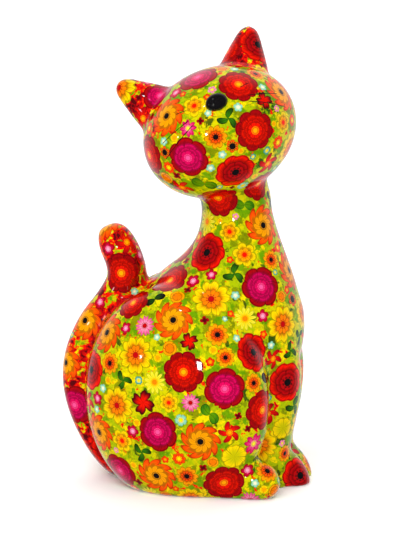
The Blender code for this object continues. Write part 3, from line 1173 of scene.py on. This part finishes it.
@dataclass(frozen=True)
class PrintedEarthenware:
    """Slip-cast earthenware with a flower transfer under a clear gloss glaze.

    The glaze gives small sharp highlights and a pale rim where the skin turns away; under it the print
    is saturated and even. Fired glaze: IOR near 1.5, roughness 0.02 to 0.08, a faint waviness every
    9 mm. The nose is painted black, a little less glossy.

    washes: The patches of the ground, each a colour, its size in millimetres and the level that it starts at.
    red_washes: The patches where the print is warm, each a colour and the levels that it rises between.
    wash_cover, wash_edge: How much of the ground a patch hides, and how softly it starts.
    red_push: How much more the red patches spread where the print is warmest.
    """

    ior: float = 1.46
    roughness: float = 0.04
    nose_roughness: float = 0.1
    nose_margin: float = 1.03
    wave_mm: float = 9.0
    wave_depth: float = 0.06 * MILLIMETRE
    speck_mm: float = 1.1
    speck_shade: float = 0.3
    washes: tuple[tuple[Paint, float, float], ...] = (
        (Paint.CHARTREUSE, 9.0, 0.47),
        (Paint.YELLOW, 8.0, 0.56),
        (Paint.OLIVE, 6.0, 0.53),
        (Paint.GRASS, 8.0, 0.53),
        (Paint.FOREST, 7.0, 0.59),
    )
    wash_cover: float = 0.9
    wash_edge: float = 0.05
    red_wash_mm: float = 5.0
    red_push: float = 0.15
    red_washes: tuple[tuple[Paint, float, float], ...] = (
        (Paint.SCARLET, 0.60, 0.63),
        (Paint.CRIMSON, 0.65, 0.70),
        (Paint.MAROON, 0.71, 0.75),
    )

    def ground(self, tree: NodeTree, place: NodeSocket) -> NodeSocket:
        """The lime ground with its yellow and green patches, and red ones where the print is warm."""
        def patches(size_mm: float, seed: float, detail: float) -> Signal:
            """Uneven patches of that size."""
            return Signal(tree, add_node(tree, "ShaderNodeTexNoise", {
                "Vector": place, "W": seed, "Scale": 1 / (size_mm * MILLIMETRE), "Detail": detail,
                "Roughness": 0.6, "Distortion": 0.5,
            }, noise_dimensions="4D"))

        color = Paint.LIME.linear()
        for seed, (paint, size_mm, start) in enumerate(self.washes):
            share = patches(size_mm, seed * 3.0, 4.0).rising(start, start + self.wash_edge) * self.wash_cover
            inputs = {FACTOR: share, UNDER: color, OVER: paint.linear()}
            color = add_node(tree, "ShaderNodeMix", inputs, **COLORS)
        warmth = Signal(tree, add_node(tree, "ShaderNodeAttribute", output="Fac", attribute_name=WARMTH))
        red = patches(self.red_wash_mm, 31.0, 4.0) + warmth * self.red_push
        for paint, start, end in self.red_washes:
            inputs = {FACTOR: red.rising(start, end), UNDER: color, OVER: paint.linear()}
            color = add_node(tree, "ShaderNodeMix", inputs, **COLORS)
        specks = patches(self.speck_mm, 40.0, 2.0).rising(0.45, 0.7)
        return shaded(tree, color, specks * self.speck_shade)

    def material(self, head: Head, whiskers: Whiskers, shift: float) -> Material:
        """Builds the material.

        Args:
            head: Says where the black nose is.
            whiskers: The lines on the cheeks.
            shift: How far the cat has been moved along +X.

        Returns:
            The material.
        """
        finish = Finish("printed_glazed_earthenware")
        tree, place = finish.tree, finish.place
        color = self.ground(tree, place)
        drawing = PrintedMotif().group()
        for sheet in Sheet:
            inputs = {"below": color}
            for part in PRINT_PARTS:
                name = f"{sheet.value}_{part}"
                inputs[part] = add_node(tree, "ShaderNodeAttribute", output="Color", attribute_name=name)
            color = add_node(tree, "ShaderNodeGroup", inputs, node_tree=drawing)
        inputs = {FACTOR: whiskers.mask(tree), UNDER: color, OVER: Paint.INK.linear()}
        color = add_node(tree, "ShaderNodeMix", inputs, **COLORS)
        nose = add_node(tree, "ShaderNodeMapping", {
            "Vector": place,
            "Location": head.place(head.nose_centre) + Vector((shift, 0, 0)),
            "Rotation": head.axes().to_euler(),
            "Scale": drawn(head.nose_radii) * self.nose_margin,
        }, vector_type="TEXTURE")
        away = Signal(tree, add_node(tree, "ShaderNodeVectorMath", {0: nose}, "Value", operation="LENGTH"))
        on_nose = away.falling(1.0, self.nose_margin)
        inputs = {FACTOR: on_nose, UNDER: color, OVER: Paint.INK.linear()}
        color = add_node(tree, "ShaderNodeMix", inputs, **COLORS)
        roughness = on_nose * (self.nose_roughness - self.roughness) + self.roughness
        wave = add_node(tree, "ShaderNodeTexNoise", {
            "Vector": place, "Scale": 1 / (self.wave_mm * MILLIMETRE), "Detail": 1.0,
        })
        return finish.close(wave, self.wave_depth, 0.5, Base_Color=color, Roughness=roughness, IOR=self.ior)


@dataclass(frozen=True)
class BisqueEarthenware:
    """Fired clay without glaze, where the cat stands, inside it and in the slot.

    It is chalky, matt and finely gritty, with faint stains a few to the hand's width.
    """

    clay: str = "E9DFCB"
    stain: str = "CDBFA5"
    stains_per_metre: float = 60.0
    grit_mm: float = 0.6
    grit_depth: float = 0.1 * MILLIMETRE
    roughness: float = 0.85

    def material(self) -> Material:
        """Builds the material."""
        finish = Finish("bisque_earthenware")
        grit, stains = (
            Signal(finish.tree, add_node(finish.tree, "ShaderNodeTexNoise", {
                "Vector": finish.place, "Scale": scale, "Detail": 3.0,
            }))
            for scale in (1 / (self.grit_mm * MILLIMETRE), self.stains_per_metre)
        )
        inputs = {FACTOR: stains.rising(0.4, 0.7), UNDER: linear(self.clay), OVER: linear(self.stain)}
        color = add_node(finish.tree, "ShaderNodeMix", inputs, **COLORS)
        return finish.close(grit, self.grit_depth, 0.5, Base_Color=color, Roughness=self.roughness)


@dataclass(frozen=True)
class MouldedRubber:
    """Injection-moulded black rubber: deep grey, matt, with a fine eroded texture."""

    color: str = "1C1B1B"
    grain_mm: float = 0.45
    grain_depth: float = 0.05 * MILLIMETRE
    roughness: float = 0.62
    ior: float = 1.52

    def material(self) -> Material:
        """Builds the material."""
        finish = Finish("moulded_rubber")
        grain = Signal(finish.tree, add_node(finish.tree, "ShaderNodeTexNoise", {
            "Vector": finish.place, "Scale": 1 / (self.grain_mm * MILLIMETRE), "Detail": 2.0,
        }))
        color = shaded(finish.tree, linear(self.color), grain.rising(0.4, 0.7) * 0.3)
        return finish.close(
            grain, self.grain_depth, 0.4, Base_Color=color, Roughness=self.roughness, IOR=self.ior
        )


@dataclass
class CatBody:
    """The one casting: torso, head, legs and tail, hollow, with its slot and its hole.

    softness, foot_softness, hollow_softness: How often the skin, its cut foot and the hollow are smoothed.
    foot_height, foot_facing: How low, and how far downward, a face is bare where the cat stands.
    warm_reach, warm_core: How far from ears and tail the print is redder, and over what share it fades.
    """

    torso: Torso = Torso()
    head: Head = Head()
    legs: Legs = Legs()
    tail: Tail = Tail()
    slot: CoinSlot = CoinSlot()
    hole: StopperHole = StopperHole()
    wall: float = 0.004
    softness: int = 16
    foot_softness: int = 7
    hollow_softness: int = 4
    foot_height: float = 0.3 * MILLIMETRE
    foot_facing: float = -0.9
    warm_reach: float = 0.024
    warm_core: float = 0.5

    def shift(self) -> float:
        """How far the drawing moves along +X, so that its length from tail to forepaws is centred."""
        length, _, depth = self.legs.forepaw_radii
        slope = self.legs.forepaw_slope
        reach = math.hypot(length * math.cos(slope), depth * math.sin(slope))
        back = min(x - radius for x, _, radius in self.tail.path)
        return -(self.legs.forepaw_centre[0] + reach + back) / 2 * UNIT

    def skin(self, glaze: Material) -> Object:
        """The outside, cut off flat where it stands and rounded there."""
        bm = bmesh.new()
        self.torso.add(bm)
        self.head.add(bm)
        self.head.add_ears(bm)
        self.legs.add_haunches(bm)
        self.legs.add_forelegs(bm)
        self.tail.add(bm)
        body = new_object("cat_casting", bm, glaze)
        fuse(body, SKIN_VOXEL, self.softness)
        combine(body, slab_below(0.0))
        fuse(body, SKIN_VOXEL, self.foot_softness)
        nose = bmesh.new()
        self.head.add_nose(nose)
        combine(body, new_object("nose", nose), "UNION")
        return body

    def warmth(self, points: np.ndarray) -> np.ndarray:
        """How red the print is at some points: most on the ears and the tail.

        Args:
            points: The points, on the drawing's origin.

        Returns:
            A number from 0 to 1 for each point.
        """
        ear = (self.head.ear_root, self.head.ear_tip)
        lines = [[self.head.place(end, side) for end in ear] for side in Side]
        climb = [drawn((x, 0, z)) for x, z, _ in self.tail.path]
        lines += zip(climb, climb[1:])
        found = np.zeros(len(points))
        for start, end in lines:
            start, along = np.array(start), np.array(end - start)
            share = np.clip((points - start) @ along / (along @ along), 0.0, 1.0)
            away = np.linalg.norm(points - start - np.outer(share, along), axis=1)
            found = np.maximum(found, 1.0 - away / self.warm_reach)
        return np.clip(found / self.warm_core, 0.0, 1.0)

    def hollow(self, bisque: Material) -> Object:
        """The space inside, over a floor that is raised round the hole."""
        bm = bmesh.new()
        self.torso.add(bm, self.wall)
        self.head.add(bm, self.wall)
        self.legs.add_haunches(bm, self.wall)
        hollow = new_object("hollow", bm, bisque)
        fuse(hollow, HOLLOW_VOXEL, self.hollow_softness)
        combine(hollow, slab_below(self.wall))
        combine(hollow, self.hole.boss())
        return hollow

    def build(self, glaze: Material, bisque: Material) -> Object:
        """Builds the casting.

        Args:
            glaze: The finish of the outside.
            bisque: The finish of the hollow, the slot and the hole.

        Returns:
            The object.
        """
        body = self.skin(glaze)
        slot, hole = self.slot.cutter(), self.hole.cutter()
        for cutter in (slot, hole):
            cutter.data.materials.append(bisque)
        for cutter in (self.hollow(bisque), slot, hole):
            combine(body, cutter)
        for face in body.data.polygons:
            if face.center.z < self.foot_height and face.normal.z < self.foot_facing:
                face.material_index = body.data.materials.find(bisque.name)
        body.data.shade_smooth()
        return body


def towards(azimuth: float, elevation: float) -> Vector:
    """The direction from the object to a lamp or the camera."""
    flat = math.cos(elevation)
    return Vector((math.sin(azimuth) * flat, -math.cos(azimuth) * flat, math.sin(elevation)))


class LampKind(Enum):
    """The studio's lamps."""

    SOFT = "SUN"
    SPOT = "AREA"


@dataclass(frozen=True)
class Lamp:
    """One lamp that faces the object. Only the small spots show in the glaze.

    azimuth, elevation: Its direction round the object, in degrees, as the camera's.
    size: How wide a soft lamp looks, in degrees, or how wide a spot is, in metres.
    power: Watts per square metre of a soft lamp, or watts of a spot.
    """

    name: str
    kind: LampKind
    azimuth: float
    elevation: float
    size: float
    power: float

    def add(self, look_at: Vector, distance: float) -> None:
        """Adds the lamp to the scene."""
        lamp = bpy.data.lights.new(self.name, self.kind.value)
        lamp.energy = self.power
        if self.kind is LampKind.SOFT:
            lamp.angle = math.radians(self.size)
        else:
            lamp.size = self.size
        holder = bpy.data.objects.new(self.name, lamp)
        turn, rise = math.radians(self.azimuth), math.radians(self.elevation)
        back = towards(turn, rise)
        holder.location = look_at + back * distance
        holder.rotation_euler = back.to_track_quat("Z", "Y").to_euler()
        holder.visible_glossy = self.kind is LampKind.SPOT
        holder.visible_camera = False
        bpy.context.scene.collection.objects.link(holder)


@dataclass
class Studio:
    """A pale floor, soft light and a camera at the photograph's angle.

    room_light: How bright the space in front of the cat and the wall behind it are.
    wall_edge: Where the room turns into the wall, as a direction's +Y.
    """

    azimuth: float = math.radians(6.0)
    elevation: float = math.radians(11.5)
    distance: float = 1.2
    look_at: Point = (0.0065, 0.0, 0.1077)
    frame_height: float = 0.2748
    sensor_height: float = 36.0
    floor_size: float = 12.0
    floor_color: str = "FCFCFB"
    floor_roughness: float = 0.8
    room_light: Pair = (0.07, 0.85)
    wall_edge: Pair = (0.0, 0.7)
    lamp_distance: float = 1.4
    lamps: tuple[Lamp, ...] = (
        Lamp("soft_front", LampKind.SOFT, 0.0, 42.0, 40.0, 1.7),
        Lamp("soft_left", LampKind.SOFT, -55.0, 45.0, 50.0, 1.0),
        Lamp("soft_right", LampKind.SOFT, 60.0, 40.0, 60.0, 0.7),
        Lamp("soft_back", LampKind.SOFT, 172.0, 55.0, 60.0, 0.8),
        Lamp("soft_top", LampKind.SOFT, 0.0, 88.0, 60.0, 0.6),
        Lamp("front", LampKind.SPOT, -6.0, 7.0, 0.08, 1.4),
        Lamp("high_left", LampKind.SPOT, -28.0, 54.0, 0.035, 0.4),
        Lamp("low_left", LampKind.SPOT, -50.0, 6.0, 0.04, 0.4),
    )

    def add_camera(self) -> None:
        """Adds the camera and makes it the scene's."""
        camera = bpy.data.cameras.new("camera")
        camera.sensor_fit = "VERTICAL"
        camera.sensor_height = self.sensor_height
        camera.lens = self.sensor_height * self.distance / self.frame_height
        holder = bpy.data.objects.new("camera", camera)
        back = towards(self.azimuth, self.elevation)
        holder.location = Vector(self.look_at) + back * self.distance
        holder.rotation_euler = back.to_track_quat("Z", "Y").to_euler()
        bpy.context.scene.collection.objects.link(holder)
        bpy.context.scene.camera = holder

    def add_floor(self) -> None:
        """Adds the floor."""
        bm = bmesh.new()
        bmesh.ops.create_grid(bm, x_segments=1, y_segments=1, size=self.floor_size / 2)
        floor = new_object("floor", bm)
        material = bpy.data.materials.new("painted_board")
        material.use_nodes = True
        shader = material.node_tree.nodes["Principled BSDF"]
        shader.inputs["Base Color"].default_value = linear(self.floor_color)
        shader.inputs["Roughness"].default_value = self.floor_roughness
        floor.data.materials.append(material)
        floor.visible_glossy = False
        floor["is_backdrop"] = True

    def add_world(self) -> None:
        """Adds the light of a room with a white wall behind the cat and a darker space in front of it."""
        world = bpy.data.worlds.new("studio_room")
        world.use_nodes = True
        tree = world.node_tree
        facing = add_node(tree, "ShaderNodeTexCoord", output="Generated")
        behind = Signal(tree, add_node(tree, "ShaderNodeSeparateXYZ", {0: facing}, "Y"))
        front, wall = self.room_light
        light = behind.rising(*self.wall_edge) * (wall - front) + front
        tree.links.new(light.socket, tree.nodes["Background"].inputs["Strength"])
        tree.nodes["Background"].inputs["Color"].default_value = linear("FFFFFF")
        bpy.context.scene.world = world

    def build(self) -> None:
        """Sets up the studio."""
        self.add_camera()
        self.add_floor()
        for lamp in self.lamps:
            lamp.add(Vector(self.look_at), self.lamp_distance)
        self.add_world()
        bpy.context.scene.view_settings.view_transform = "Standard"


def main() -> None:
    """Builds the cat, dresses the stopper and sets up the studio."""
    logging.basicConfig(level=logging.INFO, format="%(message)s")
    cat = CatBody()
    whiskers = Whiskers()
    glaze = PrintedEarthenware().material(cat.head, whiskers, cat.shift())
    body = cat.build(glaze, BisqueEarthenware().material())
    LOG.info("casting: %d faces", len(body.data.polygons))
    skin = Skin(body.data)
    FlowerPrint().apply(skin, cat.warmth(skin.centres), cat.head.nose_tip())
    skin.write(WARMTH, "FLOAT", "POINT", cat.warmth(skin.points))
    whiskers.store(skin, cat.head)
    body.data.transform(Matrix.Translation((cat.shift(), 0, 0)))
    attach(body, "root")
    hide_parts("cat_body")

    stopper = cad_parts["stopper"]
    stopper.data.materials.clear()
    stopper.data.materials.append(MouldedRubber().material())
    LOG.info("stopper: dressed in rubber")

    Studio().build()
    boxes = {"cad": CAD_BOX, "scene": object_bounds()}
    {name: [list(corner) for corner in box] for name, box in boxes.items()}


if __name__ == "__main__":
    main()
